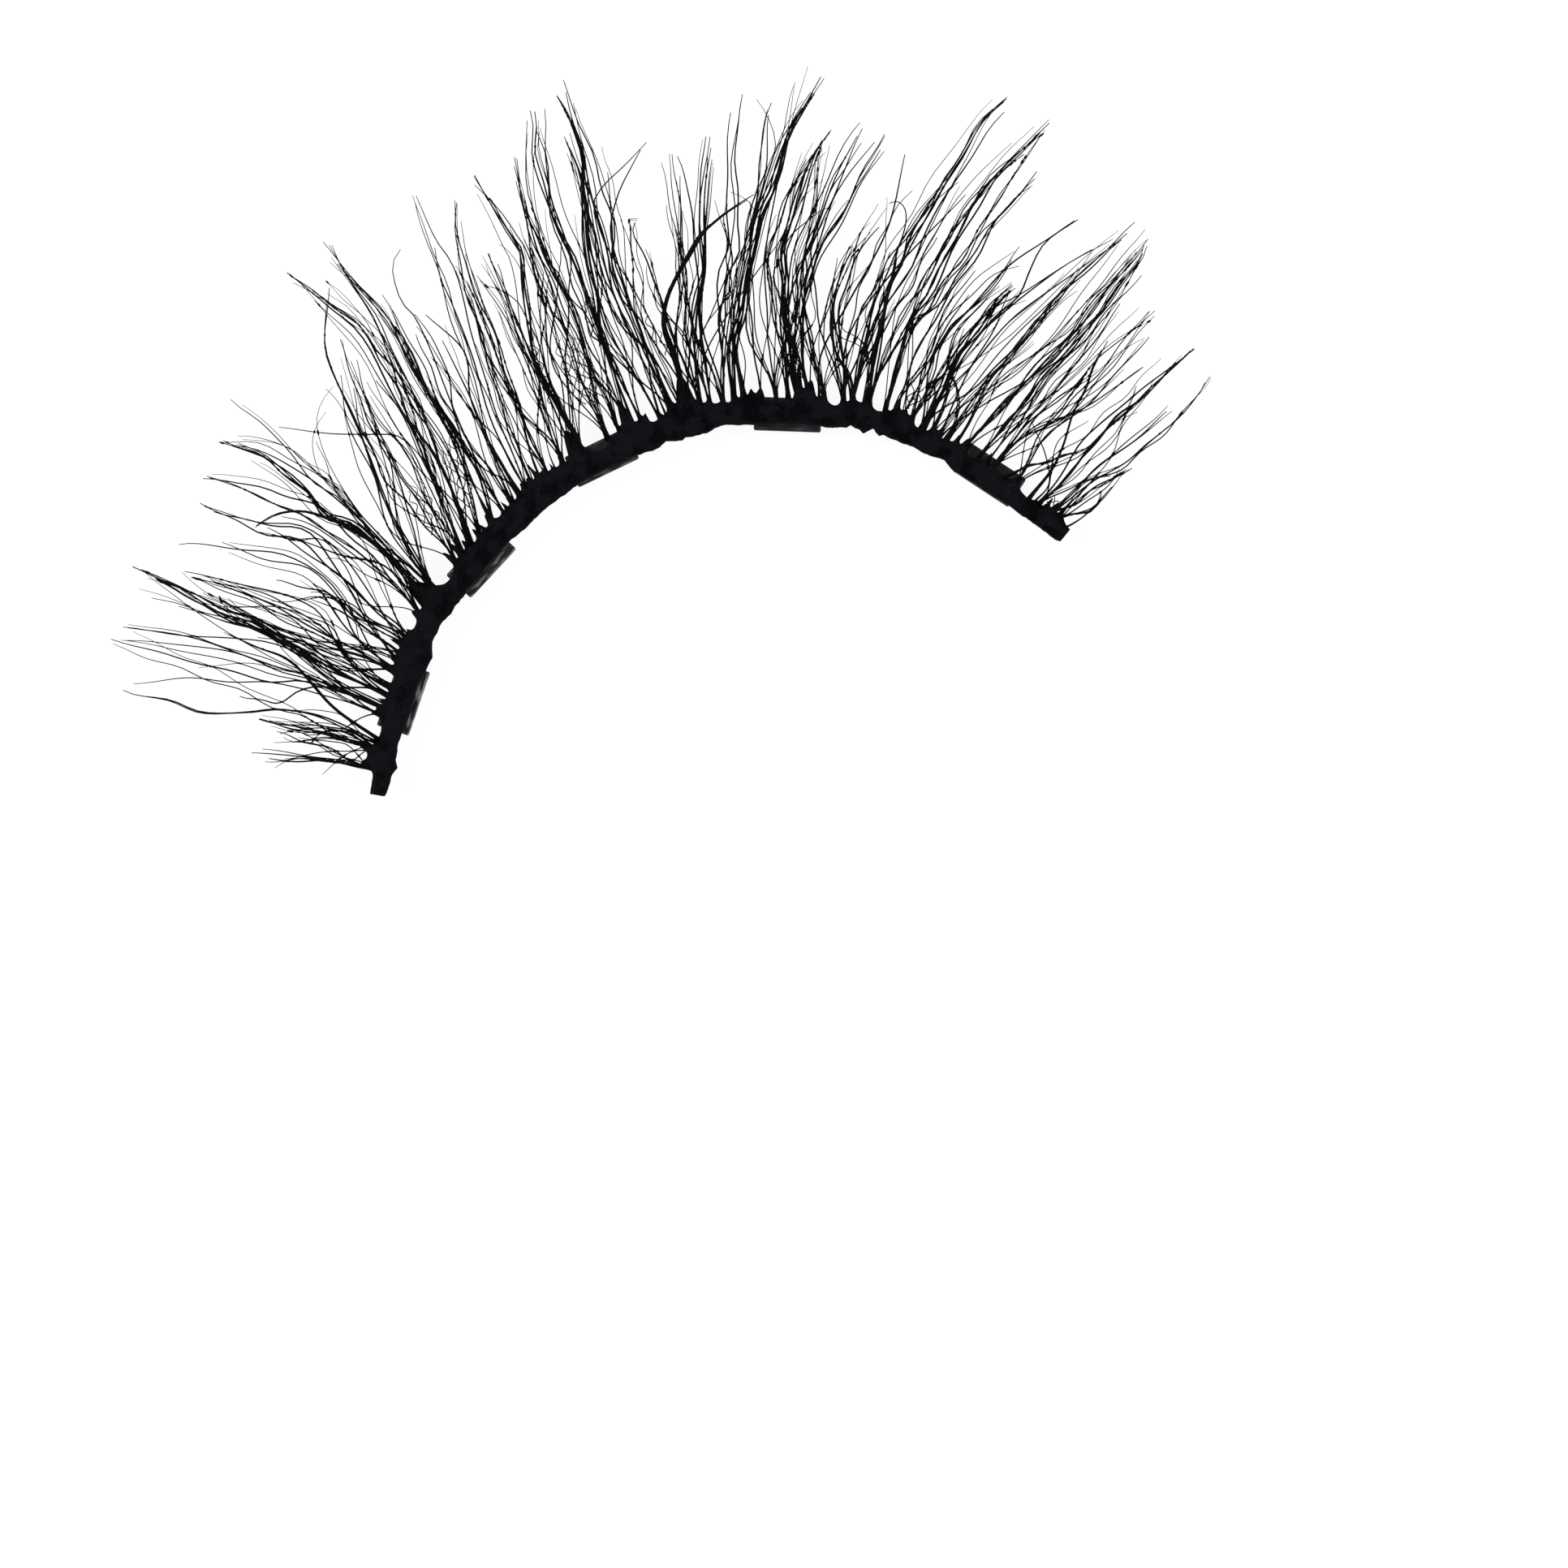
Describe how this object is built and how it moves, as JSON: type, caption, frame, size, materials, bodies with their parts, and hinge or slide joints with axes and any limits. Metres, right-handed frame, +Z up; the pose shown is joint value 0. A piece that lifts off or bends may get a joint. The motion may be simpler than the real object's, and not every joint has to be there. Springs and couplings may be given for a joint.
{
  "type": "false eyelash strip",
  "caption": "Magnetic false eyelash strip: a thin curved black band on small block magnets, with wispy pointed lashes that fan out along its outer edge and curl up.",
  "frame": {"origin": "middle of the underside of magnet_3, the middle magnet, on the surface that the strip lies on", "axes": "+X along the strip from its short-haired end to its long-haired end, +Y out along the middle lashes, +Z up, away from the eyelid"},
  "size_m": [0.0398, 0.0214, 0.0052],
  "materials": {
    "glued_cotton": "satin",
    "dark_magnet": "satin",
    "lash_hair": "satin"
  },
  "bodies": {
    "root": {"band": "glued_cotton", "magnet_1": "dark_magnet", "magnet_2": "dark_magnet", "magnet_3": "dark_magnet", "magnet_4": "dark_magnet", "magnet_5": "dark_magnet", "lash_cluster_01": "lash_hair", "lash_cluster_02": "lash_hair", "lash_cluster_03": "lash_hair", "lash_cluster_04": "lash_hair", "lash_cluster_05": "lash_hair", "lash_cluster_06": "lash_hair", "lash_cluster_07": "lash_hair", "lash_cluster_08": "lash_hair", "lash_cluster_09": "lash_hair", "lash_cluster_10": "lash_hair", "lash_cluster_11": "lash_hair", "lash_cluster_12": "lash_hair", "lash_cluster_13": "lash_hair", "lash_cluster_14": "lash_hair", "lash_cluster_15": "lash_hair", "lash_cluster_16": "lash_hair", "lash_cluster_17": "lash_hair", "lash_cluster_18": "lash_hair", "lash_cluster_19": "lash_hair", "lash_cluster_20": "lash_hair"}
  },
  "joints": []
}
